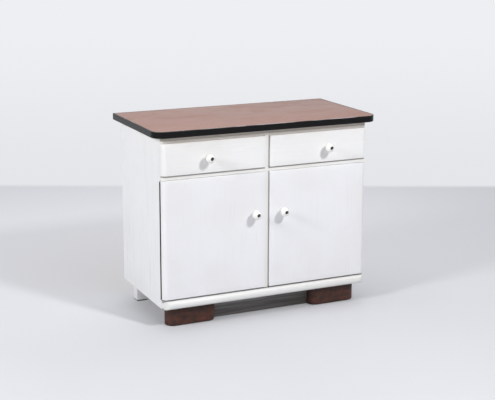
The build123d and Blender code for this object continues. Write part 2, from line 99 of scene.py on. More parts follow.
class Finish:
    """One material, with short ways to add and join its nodes."""

    def __init__(self, name, roughness=0.5, metallic=0.0):
        self.material = bpy.data.materials.new(name)
        self.material.use_nodes = True
        self.tree = self.material.node_tree
        self.shader = self.tree.nodes["Principled BSDF"]
        self.shader.inputs["Roughness"].default_value = roughness
        self.shader.inputs["Metallic"].default_value = metallic
        self.place = self.tree.nodes.new("ShaderNodeTexCoord").outputs["Object"]
        self.relief = None

    def node(self, kind, inputs, **settings):
        """Adds a node, with its settings and with a value or a link for each named input."""
        made = self.tree.nodes.new("ShaderNode" + kind)
        for key, value in settings.items():
            setattr(made, key, value)
        for key, value in inputs.items():
            self.feed(made.inputs[key], value)
        return made

    def feed(self, socket, value):
        """Links an output to a socket, or writes a plain value into it."""
        if isinstance(value, bpy.types.NodeSocket):
            self.tree.links.new(value, socket)
        else:
            socket.default_value = value

    def set(self, name, value):
        """Feeds one of the shader's own inputs."""
        self.feed(self.shader.inputs[name], value)

    def noise(self, per_metre, detail=4.0, roughness=0.5, distortion=0.0, offset=(0.0, 0.0, 0.0)):
        """Soft chance from 0 to 1, with its own number of patches a metre along x, y and z."""
        mapped = self.node("Mapping", {"Vector": self.place, "Scale": per_metre, "Location": offset})
        inputs = {"Vector": mapped.outputs[0], "Scale": 1.0, "Detail": detail}
        inputs |= {"Roughness": roughness, "Distortion": distortion}
        return self.node("TexNoise", inputs).outputs[0]

    def axis(self, name):
        """One coordinate of the place, in metres."""
        return self.node("SeparateXYZ", {"Vector": self.place}).outputs[name]

    def math(self, operation, first, second=0.0):
        """A sum, product or other plain sum of two values."""
        return self.node("Math", {0: first, 1: second}, operation=operation).outputs[0]

    def span(self, value, low, high, at_low=0.0, at_high=1.0):
        """Turns the stretch from low to high into a soft step between two values."""
        inputs = {"Value": value, "From Min": low, "From Max": high, "To Min": at_low, "To Max": at_high}
        return self.node("MapRange", inputs, interpolation_type="SMOOTHSTEP").outputs[0]

    def mix(self, share, first, second, how="MIX"):
        """Mixes two colours."""
        made = self.node("Mix", {0: share}, data_type="RGBA", blend_type=how)
        self.feed(made.inputs[6], first)
        self.feed(made.inputs[7], second)
        return made.outputs[2]

    def emboss(self, height, depth):
        """Lays relief of a depth in metres over the relief that is already there."""
        made = self.node("Bump", {"Height": height, "Distance": depth, "Strength": 1.0})
        if self.relief is not None:
            self.feed(made.inputs["Normal"], self.relief)
        self.relief = made.outputs[0]
        self.set("Normal", self.relief)


print("finish class ready")

# %% [markdown]
# ## Stage
# The floor is pale and keeps the shadow. Far behind the sideboard it turns into the tone of a plain wall:
# that part gives off its own tone, as a wall that is lit evenly does. A real wall could stand there, but a
# disc of floor alone leaves the sideboard free to be looked at from all sides.

# %% Floor
floor_radius = 14.0
floor_far_start = -0.8
floor_far_end = 1.7
wall_distance = 2.19
wall_blend = 0.05
wall_low_tone = tone(229, 230, 234)
wall_high_tone = tone(238, 239, 242)
camera_reach = 4.92
view_direction = Vector((-math.sin(camera_turn), math.cos(camera_turn), 0.0))


def floor_finish():
    """A pale floor, painted a little paler where the lamps reach less, and a wall's tone behind a line."""
    finish = Finish("pale_floor", roughness=0.9)
    finish.set("Specular IOR Level", 0.1)
    dot = {0: finish.place, 1: view_direction}
    along = finish.node("VectorMath", dot, operation="DOT_PRODUCT").outputs["Value"]
    far = finish.span(along, floor_far_start, floor_far_end)
    cloud = finish.span(finish.noise((0.7, 0.7, 0.7), detail=2.0), 0.3, 0.7)
    near_colour = finish.mix(cloud, tone(209, 210, 214), tone(213, 214, 218))
    finish.set("Base Color", finish.mix(far, near_colour, tone(235, 236, 241)))
    drop = finish.math("DIVIDE", 1.0, finish.math("ADD", along, camera_reach))
    rise = finish.span(drop, 1 / (wall_distance + camera_reach), 1 / (floor_radius + camera_reach))
    wall_colour = finish.mix(rise, wall_low_tone, wall_high_tone)
    glow = finish.node("Emission", {"Color": wall_colour, "Strength": 1.0})
    behind = finish.span(along, wall_distance - wall_blend, wall_distance + wall_blend)
    mixed = finish.node("MixShader", {0: behind, 1: finish.shader.outputs[0], 2: glow.outputs[0]})
    output = finish.tree.nodes["Material Output"]
    finish.feed(output.inputs["Surface"], mixed.outputs[0])
    return finish


floor_mesh = bmesh.new()
bmesh.ops.create_circle(floor_mesh, cap_ends=True, radius=floor_radius, segments=96)
floor_data = bpy.data.meshes.new("floor")
floor_mesh.to_mesh(floor_data)
floor_mesh.free()
floor = bpy.data.objects.new("floor", floor_data)
bpy.context.scene.collection.objects.link(floor)
floor.data.materials.append(floor_finish().material)
print("floor to", floor_radius, "m, wall tone from", wall_distance, "m behind")

# %% World
sky_strength = 0.42
sky_colour = (0.98, 0.985, 1.0, 1.0)
world = bpy.data.worlds.new("studio")
bpy.context.scene.world = world
world.use_nodes = True
sky = world.node_tree
sky.nodes.clear()
seen = sky.nodes.new("ShaderNodeBackground")
seen.inputs["Color"].default_value = wall_high_tone
unseen = sky.nodes.new("ShaderNodeBackground")
unseen.inputs["Color"].default_value = sky_colour
unseen.inputs["Strength"].default_value = sky_strength
path = sky.nodes.new("ShaderNodeLightPath")
either = sky.nodes.new("ShaderNodeMath")
either.operation = "MAXIMUM"
sky.links.new(path.outputs["Is Camera Ray"], either.inputs[0])
sky.links.new(path.outputs["Is Glossy Ray"], either.inputs[1])
chosen = sky.nodes.new("ShaderNodeMixShader")
sky.links.new(either.outputs[0], chosen.inputs[0])
sky.links.new(unseen.outputs[0], chosen.inputs[1])
sky.links.new(seen.outputs[0], chosen.inputs[2])
sky_out = sky.nodes.new("ShaderNodeOutputWorld")
sky.links.new(chosen.outputs[0], sky_out.inputs["Surface"])
print("sky strength", sky_strength)

# %% [markdown]
# ## Light
# One lamp stands in front, to the right and above: the knobs' shadows lie down and to the left of them,
# with an edge a few millimetres wide, which gives both its direction and its size. A second, larger lamp
# far out to the left keeps the end panel almost as light as the fronts, and throws the faint shadow on the
# floor at the right. A third, wide one hangs over the floor behind and lifts the shadows there.

# %% Lamps


def lamp(name, place, target, size, power, colour=(1.0, 1.0, 1.0)):
    """A round soft lamp that points at a target."""
    data = bpy.data.lights.new(name, "AREA")
    data.shape = "DISK"
    data.size = size
    data.energy = power
    data.color = colour
    made = bpy.data.objects.new(name, data)
    bpy.context.scene.collection.objects.link(made)
    made.location = place
    made.rotation_euler = (Vector(target) - Vector(place)).to_track_quat("-Z", "Y").to_euler()
    print(name, power, "W")
    return made


lamp("key", (0.76, -2.55, 2.56), (-0.05, -0.2, 0.45), 0.4, 54.0)
lamp("left_fill", (-3.3, -1.0, 2.2), (-0.4, 0.0, 0.4), 1.0, 67.0)
lamp("back_soft", (0.3, 1.6, 3.0), (0.3, 1.4, 0.0), 3.4, 28.0)

# %% [markdown]
# ## White paint
# The carcass is brush painted in a glossy white. Such paint isn't one colour: the brush leaves fine streaks
# along the board, the coat yellows and greys in soft clouds, and a few specks of dust dry into it. The
# streaks also show in the relief, so a reflection breaks up along them. Behind the doors' outer ends the
# floor of the recess is painted dark: partly bare wood gone dark with grime, partly painted shade in the
# narrow recess.

# %% White paint
yellowing = (0.955, 0.95, 0.935)
streak_share = 0.35
dust_share = 0.35
streak_depth = 0.06 * MM
orange_peel_depth = 0.08 * MM


def brushed_white(name, colour, streaks):
    """Glossy white paint whose brush streaks run along one axis; streaks gives patches a metre."""
    finish = Finish(name, roughness=0.3)
    clouds = finish.span(finish.noise((4.0, 4.0, 4.0), detail=3.0), 0.35, 0.7)
    aged = tuple(channel * share for channel, share in zip(colour, yellowing)) + (1.0,)
    painted = finish.mix(clouds, colour, aged)
    brush = finish.noise(streaks, detail=6.0, roughness=0.6)
    streaked = finish.mix(finish.span(brush, 0.3, 0.75), painted, tone(226, 227, 230))
    painted = finish.mix(streak_share, painted, streaked)
    dust = finish.span(finish.noise((420.0, 420.0, 420.0), detail=1.0), 0.76, 0.82)
    painted = finish.mix(finish.math("MULTIPLY", dust, dust_share), painted, tone(176, 172, 165))
    finish.set("Base Color", painted)
    finish.set("Roughness", finish.span(brush, 0.2, 0.8, 0.24, 0.4))
    finish.emboss(brush, streak_depth)
    finish.emboss(finish.noise((90.0, 90.0, 90.0), detail=2.0), orange_peel_depth)
    return finish


print("brushed white ready")

# %% Dark recess beside the doors: bare wood and painted shade
panel_low, panel_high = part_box("side_panel_right")
side_recess_depth = 13 * MM


def darken_recess(finish):
    """Paints the floor of the recess down each side's front edge dark: bare, grimy wood and painted shade."""
    floor_y = panel_low.y + side_recess_depth
    near_floor = finish.span(finish.axis("Y"), floor_y - 1.2 * MM, floor_y - 0.6 * MM)
    not_behind = finish.span(finish.axis("Y"), floor_y + 0.4 * MM, floor_y + 0.6 * MM, 1.0, 0.0)
    across = finish.math("ABSOLUTE", finish.axis("X"))
    inside = finish.span(across, panel_high.x - 0.35 * MM, panel_high.x - 0.15 * MM, 1.0, 0.0)
    share = finish.math("MULTIPLY", finish.math("MULTIPLY", near_floor, not_behind), inside)
    # The dark colour here is partly bare, grimy wood and partly painted shade in the recess.
    painted = finish.shader.inputs["Base Color"].links[0].from_socket
    painted_darkening = finish.mix(finish.noise((60.0, 60.0, 25.0)), tone(58, 52, 48), tone(96, 88, 82))
    finish.set("Base Color", finish.mix(share, painted, painted_darkening))


print("recess floor", side_recess_depth, "m behind the front of the sides")

# %% Six whites
upright_streaks = (190.0, 190.0, 3.5)
level_streaks = (3.5, 190.0, 190.0)
end_streaks = (190.0, 190.0, 2.5)
drawer_white = brushed_white("drawer_white", tone(238, 238, 238), level_streaks)
door_white = brushed_white("door_white", tone(236, 236, 239), upright_streaks)
side_white = brushed_white("side_white", tone(235, 236, 238), end_streaks)
bead_white = brushed_white("bead_white", tone(237, 236, 233), level_streaks)
# The rail's white is darker than the others: painted shade, as the rail under the doors is lit less than the
# fronts.
rail_white_shaded = brushed_white("rail_white_shaded", tone(229, 229, 227), level_streaks)
inside_white = brushed_white("inside_white", tone(232, 230, 223), upright_streaks)
darken_recess(side_white)
print("six whites, from", drawer_white.material.name, "to", inside_white.material.name)

# %% [markdown]
# ## Linoleum
# Linoleum is rolled, so its marbling is drawn out along the sheet. The tone wanders between a dusty pink
# and terracotta, and more of the terracotta shows towards the back, where fewer hands have worn it pale.
# A few hairline scratches cross it. Each is where a slow noise passes one value, kept only in places.

# %% Linoleum
worn_pale_y = -0.2
deep_tone_y = 0.27
lino_grain_depth = 0.04 * MM


def linoleum_finish():
    """Worn, marbled, reddish brown linoleum."""
    finish = Finish("marbled_linoleum", roughness=0.5)
    grain = finish.noise((260.0, 260.0, 260.0), detail=5.0, roughness=0.65)
    drawn = finish.noise((5.0, 16.0, 16.0), detail=6.0, roughness=0.55, distortion=1.2)
    colour = finish.mix(finish.span(grain, 0.3, 0.7), tone(134, 95, 84), tone(157, 119, 106))
    depth = finish.span(finish.axis("Y"), worn_pale_y, deep_tone_y)
    patches = finish.math("MULTIPLY", finish.span(drawn, 0.47, 0.66), finish.span(depth, 0.0, 1.0, 0.35, 1.0))
    colour = finish.mix(finish.math("MULTIPLY", patches, 0.65), colour, tone(126, 80, 66))
    veil = finish.span(finish.noise((9.0, 9.0, 9.0), detail=4.0, offset=(3.0, 1.0, 0.0)), 0.4, 0.75)
    colour = finish.mix(finish.math("MULTIPLY", veil, 0.3), colour, tone(165, 138, 128))
    for turn, offset in enumerate(((0.0, 0.0, 0.0), (7.0, 2.0, 0.0))):
        line = finish.noise((6.0 + 3 * turn, 15.0 - 4 * turn, 9.0), detail=1.0, offset=offset)
        off = finish.math("ABSOLUTE", finish.math("SUBTRACT", line, 0.5))
        hair = finish.span(off, 0.0012, 0.004, 1.0, 0.0)
        patch = finish.noise((11.0, 11.0, 11.0), detail=1.0, offset=(offset[1], 5.0, 0.0))
        kept = finish.span(patch, 0.6, 0.66)
        scratch = finish.math("MULTIPLY", finish.math("MULTIPLY", hair, kept), 0.5)
        colour = finish.mix(scratch, colour, tone(96, 62, 52))
    finish.set("Base Color", colour)
    finish.set("Roughness", finish.span(veil, 0.0, 1.0, 0.42, 0.6))
    finish.emboss(grain, lino_grain_depth)
    return finish


linoleum = linoleum_finish()
print(linoleum.material.name)

# %% [markdown]
# ## Black edge band
# The band is black lacquer over wood. On the upper arris, where plates and elbows rub, the lacquer has
# thinned to grey in broken streaks, and a few chips are quite pale. Along the front, away from the left
# corner, the very crest of the arris is a broken pale line: partly bare where it is rubbed most, partly a
# painted highlight.

# %% Black lacquer
worktop_low, worktop_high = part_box("top_edge_band_front")
rub_height = 2.4 * MM
crest_height = 1.1 * MM


def edge_finish():
    """Black lacquer, rubbed through in streaks along its upper arris, with a broken pale line on the front
    crest that is partly a painted highlight.
    """
    finish = Finish("rubbed_black_edge", roughness=0.32)
    finish.set("Specular IOR Level", 0.18)
    streak = finish.noise((30.0, 30.0, 420.0), detail=5.0, roughness=0.6)
    colour = finish.mix(finish.span(streak, 0.35, 0.7), tone(11, 11, 12), tone(23, 23, 24))
    height = finish.span(finish.axis("Z"), worktop_high.z - rub_height, worktop_high.z - 0.6 * MM)
    rub = finish.noise((14.0, 14.0, 200.0), detail=7.0, roughness=0.7)
    worn = finish.math("MULTIPLY", height, finish.span(rub, 0.52, 0.66))
    colour = finish.mix(finish.math("MULTIPLY", worn, 0.75), colour, tone(132, 126, 124))
    chips = finish.span(finish.noise((75.0, 75.0, 160.0), detail=2.0, offset=(2.0, 0.0, 1.0)), 0.69, 0.72)
    chipped = finish.math("MULTIPLY", chips, finish.span(height, 0.1, 0.6))
    colour = finish.mix(chipped, colour, tone(176, 170, 164))
    # The front crest's pale line is partly bare lacquer and partly a painted highlight.
    front = finish.span(finish.axis("Y"), worktop_low.y + 2 * MM, worktop_low.y + 5 * MM, 1.0, 0.0)
    off_corner = finish.span(finish.axis("X"), -0.38, -0.2)
    crest = finish.span(finish.axis("Z"), worktop_high.z - crest_height, worktop_high.z - 0.5 * MM)
    breaks = finish.noise((9.0, 9.0, 30.0), detail=4.0, offset=(1.0, 4.0, 0.0))
    broken = finish.span(breaks, 0.38, 0.56)
    bare_and_highlight = finish.math("MULTIPLY", finish.math("MULTIPLY", front, off_corner), crest)
    colour = finish.mix(finish.math("MULTIPLY", bare_and_highlight, broken), colour, tone(196, 188, 190))
    finish.set("Base Color", colour)
    finish.set("Roughness", finish.span(worn, 0.0, 1.0, 0.3, 0.6))
    finish.emboss(finish.math("MULTIPLY", chipped, -1.0), 0.3 * MM)
    finish.emboss(streak, 0.08 * MM)
    return finish


black_edge = edge_finish()
print(black_edge.material.name)

# %% [markdown]
# ## Base woods
# The front blocks are stained a dark reddish brown. The stain took unevenly, so they are mottled. Their upper
# part is painted darker for the rail's shadow, and their foot for the shade at the floor. The board behind
# them is darker and greyer, with pale streaks along it where the stain rubbed off, with painted shade near
# the floor and a painted shadow of the right block towards its right end.

# %% Stain on the blocks
rail_shadow_low_z = 0.045
rail_shadow_high_z = 0.08
base_grain_depth = 0.12 * MM


def block_finish():
    """Mottled, dark reddish brown stain, with the rail's shadow painted on the upper part and shade painted
    at the floor.
    """
    finish = Finish("mottled_brown_stain", roughness=0.55)
    finish.set("Specular IOR Level", 0.3)
    mottle = finish.noise((42.0, 42.0, 42.0), detail=6.0, roughness=0.62)
    colour = finish.mix(finish.span(mottle, 0.34, 0.68), tone(52, 37, 32), tone(88, 52, 41))
    grain = finish.noise((9.0, 160.0, 190.0), detail=5.0, roughness=0.6)
    colour = finish.mix(finish.math("MULTIPLY", finish.span(grain, 0.45, 0.7), 0.5), colour, tone(42, 29, 26))
    warm = finish.span(finish.noise((26.0, 26.0, 26.0), detail=2.0, offset=(4.0, 0.0, 2.0)), 0.56, 0.7)
    colour = finish.mix(finish.math("MULTIPLY", warm, 0.45), colour, tone(104, 56, 44))
    # Painted shadow of the rail over the upper part, and painted shade where the blocks meet the floor.
    rail_shadow = finish.span(finish.axis("Z"), rail_shadow_low_z, rail_shadow_high_z)
    colour = finish.mix(finish.math("MULTIPLY", rail_shadow, 0.6), colour, tone(38, 30, 27))
    floor_shade = finish.span(finish.axis("Z"), 0.001, 0.009, 0.7, 0.0)
    colour = finish.mix(floor_shade, colour, tone(34, 26, 23))
    finish.set("Base Color", colour)
    finish.set("Roughness", finish.span(mottle, 0.3, 0.7, 0.48, 0.66))
    finish.emboss(grain, base_grain_depth)
    return finish


brown_block = block_finish()
print(brown_block.material.name)

# %% Stain on the board
block_shadow_x = 0.24


def kick_finish():
    """Dark board with pale streaks along it, with painted shade near the floor and a painted shadow of the
    right block towards its right end.
    """
    finish = Finish("streaked_dark_board", roughness=0.6)
    streak = finish.noise((4.0, 90.0, 120.0), detail=6.0, roughness=0.6)
    colour = finish.mix(finish.span(streak, 0.32, 0.7), tone(82, 79, 78), tone(142, 140, 141))
    # Painted shade near the floor, and a painted shadow of the right block towards the right end.
    low = finish.span(finish.axis("Z"), 0.02, 0.06, 0.7, 0.0)
    colour = finish.mix(low, colour, tone(70, 65, 61))
    block_shadow = finish.span(finish.axis("X"), 0.0, block_shadow_x, 0.0, 0.6)
    colour = finish.mix(block_shadow, colour, tone(58, 54, 46))
    finish.set("Base Color", colour)
    finish.emboss(streak, base_grain_depth)
    return finish


dark_board = kick_finish()
print(dark_board.material.name)

# %% [markdown]
# ## Bare wood and plywood
# Inside, the drawers, runners and rails are planed and left bare. Wood grain is long noise along the board
# with darker late wood, fine pores and a slow change of tone. The plywood is the same with a wider figure.

# %% Bare woods
rings_per_figure = 9.0
pore_depth = 0.08 * MM


def planed_wood(name, pale, dark, slow, fine):
    """Planed wood: slow and fine give the patches a metre of the figure and of the pores."""
    finish = Finish(name, roughness=0.55)
    figure = finish.noise(slow, detail=5.0, roughness=0.55, distortion=0.9)
    rings = finish.math("FRACT", finish.math("MULTIPLY", figure, rings_per_figure))
    late = finish.math("MULTIPLY", finish.span(rings, 0.25, 0.95), finish.span(rings, 0.95, 1.0, 1.0, 0.0))
    colour = finish.mix(finish.math("MULTIPLY", late, 0.55), pale, dark)
    pores = finish.noise(fine, detail=4.0, roughness=0.6)
    colour = finish.mix(finish.math("MULTIPLY", finish.span(pores, 0.5, 0.75), 0.3), colour, dark)
    finish.set("Base Color", colour)
    finish.set("Roughness", finish.span(pores, 0.3, 0.7, 0.48, 0.64))
    finish.emboss(pores, pore_depth)
    return finish


pine_pale, pine_dark = tone(214, 184, 142), tone(176, 132, 86)
birch_pale, birch_dark = tone(218, 194, 156), tone(190, 154, 110)
pine_deep = planed_wood("pine_front_to_back", pine_pale, pine_dark, (22.0, 1.2, 16.0), (420.0, 9.0, 420.0))
pine_across = planed_wood("pine_side_to_side", pine_pale, pine_dark, (1.2, 22.0, 16.0), (9.0, 420.0, 420.0))
ply_upright = planed_wood("plywood_upright", birch_pale, birch_dark, (7.0, 7.0, 0.8), (260.0, 260.0, 9.0))
ply_across = planed_wood("plywood_level", birch_pale, birch_dark, (0.8, 7.0, 7.0), (9.0, 260.0, 260.0))
print("four bare woods")

# %% [markdown]
# ## Metal, knobs and felt
# The hinges and catches are plain steel, dulled in soft patches. The knobs' screws have darkened with age.
# The knobs are glossy white and almost clean, with painted shade on the neck and foot behind the ball. The
# pads under the posts are felt.

# %% Steel


def metal_finish(name, colour, stain, rough):
    """Dulled metal: soft stains change its colour and its gloss."""
    finish = Finish(name, roughness=rough, metallic=1.0)
    patches = finish.noise((120.0, 120.0, 120.0), detail=5.0, roughness=0.6)
    finish.set("Base Color", finish.mix(finish.span(patches, 0.4, 0.72), colour, stain))
    finish.set("Roughness", finish.span(patches, 0.35, 0.75, rough, rough + 0.18))
    finish.emboss(finish.noise((1400.0, 1400.0, 1400.0), detail=2.0), 0.01 * MM)
    return finish


dull_steel = metal_finish("dull_steel", tone(176, 176, 178), tone(132, 128, 124), 0.32)
dark_screw = metal_finish("darkened_screw_steel", tone(92, 86, 82), tone(64, 58, 54), 0.22)
print("two steels")

# %% Knob white
face_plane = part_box("door_left_panel")[0].y
neck_shade_from = 15.5 * MM
neck_shade_full = 13.0 * MM
neck_shade_share = 0.3


def knob_finish():
    """Glossy white with a faint unevenness, very few dark pits, and painted shade on the neck behind the
    ball.
    """
    finish = Finish("glossy_knob_white", roughness=0.14)
    cloud = finish.span(finish.noise((60.0, 60.0, 60.0), detail=3.0), 0.35, 0.7)
    colour = finish.mix(cloud, tone(243, 243, 241), tone(236, 236, 232))
    pits = finish.span(finish.noise((900.0, 900.0, 900.0), detail=1.0), 0.78, 0.83)
    colour = finish.mix(finish.math("MULTIPLY", pits, 0.5), colour, tone(140, 134, 126))
    # The neck and foot are painted darker towards the front: painted shade where the ball shades them.
    neck_unshaded_y = face_plane - neck_shade_from
    neck_shaded_y = face_plane - neck_shade_full
    painted_darkening = finish.span(finish.axis("Y"), neck_unshaded_y, neck_shaded_y, 0.0, neck_shade_share)
    finish.set("Base Color", finish.mix(painted_darkening, colour, tone(128, 124, 118)))
    finish.set("Roughness", finish.span(cloud, 0.0, 1.0, 0.1, 0.2))
    finish.emboss(finish.noise((300.0, 300.0, 300.0), detail=2.0), 0.03 * MM)
    return finish


knob_white = knob_finish()
print(knob_white.material.name)

# %% Felt


def felt_finish():
    """Black felt with a short, pale fuzz."""
    finish = Finish("black_felt", roughness=0.95)
    fuzz = finish.noise((1500.0, 1500.0, 1500.0), detail=3.0)
    finish.set("Base Color", finish.mix(finish.span(fuzz, 0.4, 0.7), tone(24, 23, 24), tone(52, 50, 50)))
    finish.shader.inputs["Sheen Weight"].default_value = 0.3
    finish.emboss(fuzz, 0.4 * MM)
    return finish


felt = felt_finish()
print(felt.material.name)

# %% [markdown]
# ## Ways to make a piece
# Almost every piece starts as a block whose corners come from the frame, and gets its edges rounded with a
# bevel. A bevel's radius and steps are given each time. When a piece is done it becomes an object at the
# origin, with smooth shading that still breaks at the sharp edges.

# %% Blocks and rounding
on_plane = 0.02 * MM


def block(low, high):
    """A new mesh that holds one box between two corners."""
    shape = bmesh.new()
    made = bmesh.ops.create_cube(shape, size=1.0)
    bmesh.ops.scale(shape, verts=made["verts"], vec=Vector(high) - Vector(low))
    bmesh.ops.translate(shape, verts=made["verts"], vec=(Vector(high) + Vector(low)) / 2)
    return shape


def round_off(shape, edges, radius, steps):
    """Rounds edges to a radius."""
    bmesh.ops.bevel(
        shape, geom=list(edges), offset=radius, offset_type="OFFSET", affect="EDGES",
        segments=steps, profile=0.5, material=-1,
    )


def edges_at(shape, **planes):
    """The edges that lie wholly in the named planes, such as x=0.1 and z=0.2."""
    found = []
    for edge in shape.edges:
        ends = [vertex.co for vertex in edge.verts]
        if all(abs(getattr(end, axis) - value) < on_plane for axis, value in planes.items() for end in ends):
            found.append(edge)
    return found


print("blocks and rounding ready")

# %% Cuts and finished pieces
cut_distance = 0.01 * MM
hands = {"left": -1, "right": 1}


def cut_every(shape, axis, low, high, step):
    """Cuts a mesh across one axis at even steps, so that it can be waved or dented."""
    count = max(1, round((high - low) / step))
    normal = Vector([float(name == axis) for name in "xyz"])
    for index in range(1, count):
        place = normal * (low + (high - low) * index / count)
        geometry = shape.verts[:] + shape.edges[:] + shape.faces[:]
        bmesh.ops.bisect_plane(shape, geom=geometry, plane_co=place, plane_no=normal, dist=cut_distance)


def finish_piece(shape, name, finish, body, slot, *replaced, sharp=35.0):
    """Turns a mesh into a named piece that rides on a body and stands for its nodes."""
    bmesh.ops.recalc_face_normals(shape, faces=shape.faces[:])
    data = bpy.data.meshes.new(name)
    shape.to_mesh(data)
    shape.free()
    data.polygons.foreach_set("use_smooth", [True] * len(data.polygons))
    data.set_sharp_from_angle(angle=math.radians(sharp))
    data.materials.append(finish.material)
    piece = bpy.data.objects.new(name, data)
    bpy.context.scene.collection.objects.link(piece)
    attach(piece, body)
    if replaced:
        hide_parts(*replaced)
    print(name, len(data.polygons), "faces on", body)
    return piece


print("cuts and pieces ready, for the", " and the ".join(hands))

# %% [markdown]
# ## Worktop band
# The band could be swept along a path, but its wide corners and its rounded arrises come more simply from a
# slab: draw the top in plan, round its corners, raise it, round both arrises, and take the middle out. The
# outline is then cut into short lengths and dented by hardly anything, as an old edge is.

# %% Worktop band
front_corner_r = 49 * MM
back_corner_r = 3 * MM
band_width = 4.5 * MM
band_round = 2 * MM
band_cut = 7 * MM
least_corner_r = 0.5 * MM
most_side_corners = 12        # a face with more corners is the whole top or the whole underside
slab_low = Vector((worktop_low.x, worktop_low.y, worktop_low.z))
slab_high = Vector((worktop_high.x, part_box("top_edge_band_back")[1].y, worktop_high.z))
thickness = slab_high.z - slab_low.z
print("worktop", tuple(round(value, 3) for value in slab_high - slab_low))


def plan_outline(inset):
    """The worktop in plan at its underside, with round corners, drawn in by an inset."""
    shape = bmesh.new()
    bmesh.ops.create_grid(shape, x_segments=1, y_segments=1, size=0.5)
    size = slab_high - slab_low - Vector((2 * inset, 2 * inset, thickness))
    bmesh.ops.scale(shape, verts=shape.verts[:], vec=(size.x, size.y, 1.0))
    middle = (slab_low + slab_high) / 2
    bmesh.ops.translate(shape, verts=shape.verts[:], vec=(middle.x, middle.y, slab_low.z))
    for radius, at_front, steps in ((front_corner_r, True, 16), (back_corner_r, False, 5)):
        left = max(radius - inset, least_corner_r)
        corners = [vertex for vertex in shape.verts if abs(vertex.co.x) > size.x / 2 - 0.1 * MM]
        corners = [vertex for vertex in corners if (vertex.co.y < middle.y) == at_front]
        corners = sorted(corners, key=lambda vertex: vertex.co.y if at_front else -vertex.co.y)[:2]
        bmesh.ops.bevel(
            shape, geom=corners, offset=left, offset_type="OFFSET", affect="VERTICES",
            segments=steps, profile=0.5, material=-1,
        )
    return shape


def raise_plan(shape, height):
    """Raises a flat outline into a solid of a height."""
    raised = bmesh.ops.extrude_face_region(shape, geom=shape.faces[:])
    moved = [item for item in raised["geom"] if isinstance(item, bmesh.types.BMVert)]
    bmesh.ops.translate(shape, verts=moved, vec=(0, 0, height))


def edge_band():
    """The whole ring of the band, cut into short lengths."""
    shape = plan_outline(0.0)
    raise_plan(shape, thickness)
    rims = edges_at(shape, z=slab_low.z) + edges_at(shape, z=slab_high.z)
    round_off(shape, rims, band_round, 5)
    flats = [face for face in shape.faces if len(face.verts) > most_side_corners]
    bmesh.ops.inset_region(shape, faces=flats, thickness=band_width - band_round, use_even_offset=True)
    flats = [face for face in shape.faces if len(face.verts) > most_side_corners]
    rings = [edge for face in flats for edge in face.edges]
    bmesh.ops.delete(shape, geom=flats, context="FACES_ONLY")
    bmesh.ops.bridge_loops(shape, edges=rings)
    cut_every(shape, "x", slab_low.x, slab_high.x, band_cut)
    cut_every(shape, "y", slab_low.y, slab_high.y, band_cut)
    return shape


print("band", band_width, "m wide")

# %% Dents in the band
wave_depth = 0.12 * MM
knock_depth = 2.2 * MM
knock_from = 0.42


def dent(shape):
    """Waves the outer face by a tenth of a millimetre, and knocks small flats on the upper arris."""
    for vertex in shape.verts:
        place = vertex.co
        wave = noise.noise(Vector((place.x * 9, place.y * 9, place.z * 30)))
        knock = noise.noise(Vector((place.x * 46 + 3, place.y * 46, 7.0)))
        arris = max(0.0, 1 - (slab_high.z - place.z) / band_round)
        pressed = Vector((0.0, 0.0, max(0.0, knock - knock_from) * arris * knock_depth))
        outward = Vector((place.x, place.y - (slab_low.y + slab_high.y) / 2, 0.0)).normalized()
        vertex.co = place - outward * abs(wave) * wave_depth - pressed


for part, keep_front in (("front", True), ("back", False)):
    band = edge_band()
    dent(band)
    joint = slab_high.y - band_width
    bmesh.ops.bisect_plane(
        band, geom=band.verts[:] + band.edges[:] + band.faces[:], plane_co=(0, joint, 0),
        plane_no=(0, 1, 0), clear_outer=keep_front, clear_inner=not keep_front,
    )
    bmesh.ops.holes_fill(band, edges=[edge for edge in band.edges if edge.is_boundary], sides=0)
    finish_piece(band, f"edge_band_{part}", black_edge, "root", "black_edge", f"top_edge_band_{part}")

# %% [markdown]
# ## Linoleum sheet
# The sheet is let into the band and lies a hair lower. Its edge is eased and stands a fraction off the
# band, so a fine dark seam runs round it.

# %% Linoleum sheet
seam = 0.35 * MM
sheet_ease = 0.5 * MM
sheet_low, sheet_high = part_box("top_linoleum")
sheet = plan_outline(band_width + seam)
bmesh.ops.translate(sheet, verts=sheet.verts[:], vec=(0, 0, sheet_low.z - slab_low.z))
raise_plan(sheet, sheet_high.z - sheet_low.z)
round_off(sheet, edges_at(sheet, z=sheet_high.z), sheet_ease, 2)
finish_piece(sheet, "linoleum_sheet", linoleum, "root", "linoleum", "top_linoleum")

# %% [markdown]
# ## Drawer and door fronts
# Each front is a thick board. Its outer upright edge is rounded over almost the whole thickness, which
# gives the soft shaded ends, and its other edges are only eased. The face is cut into a coarse grid and
# waved by a tenth of a millimetre: hand-planed and brush-painted boards are never optically flat.

# %% Fronts
outer_r = 20 * MM
inner_r = 3 * MM
back_r = 1.4 * MM
ease_r = 1.2 * MM
grid_step = 24 * MM
face_wave = 0.16 * MM


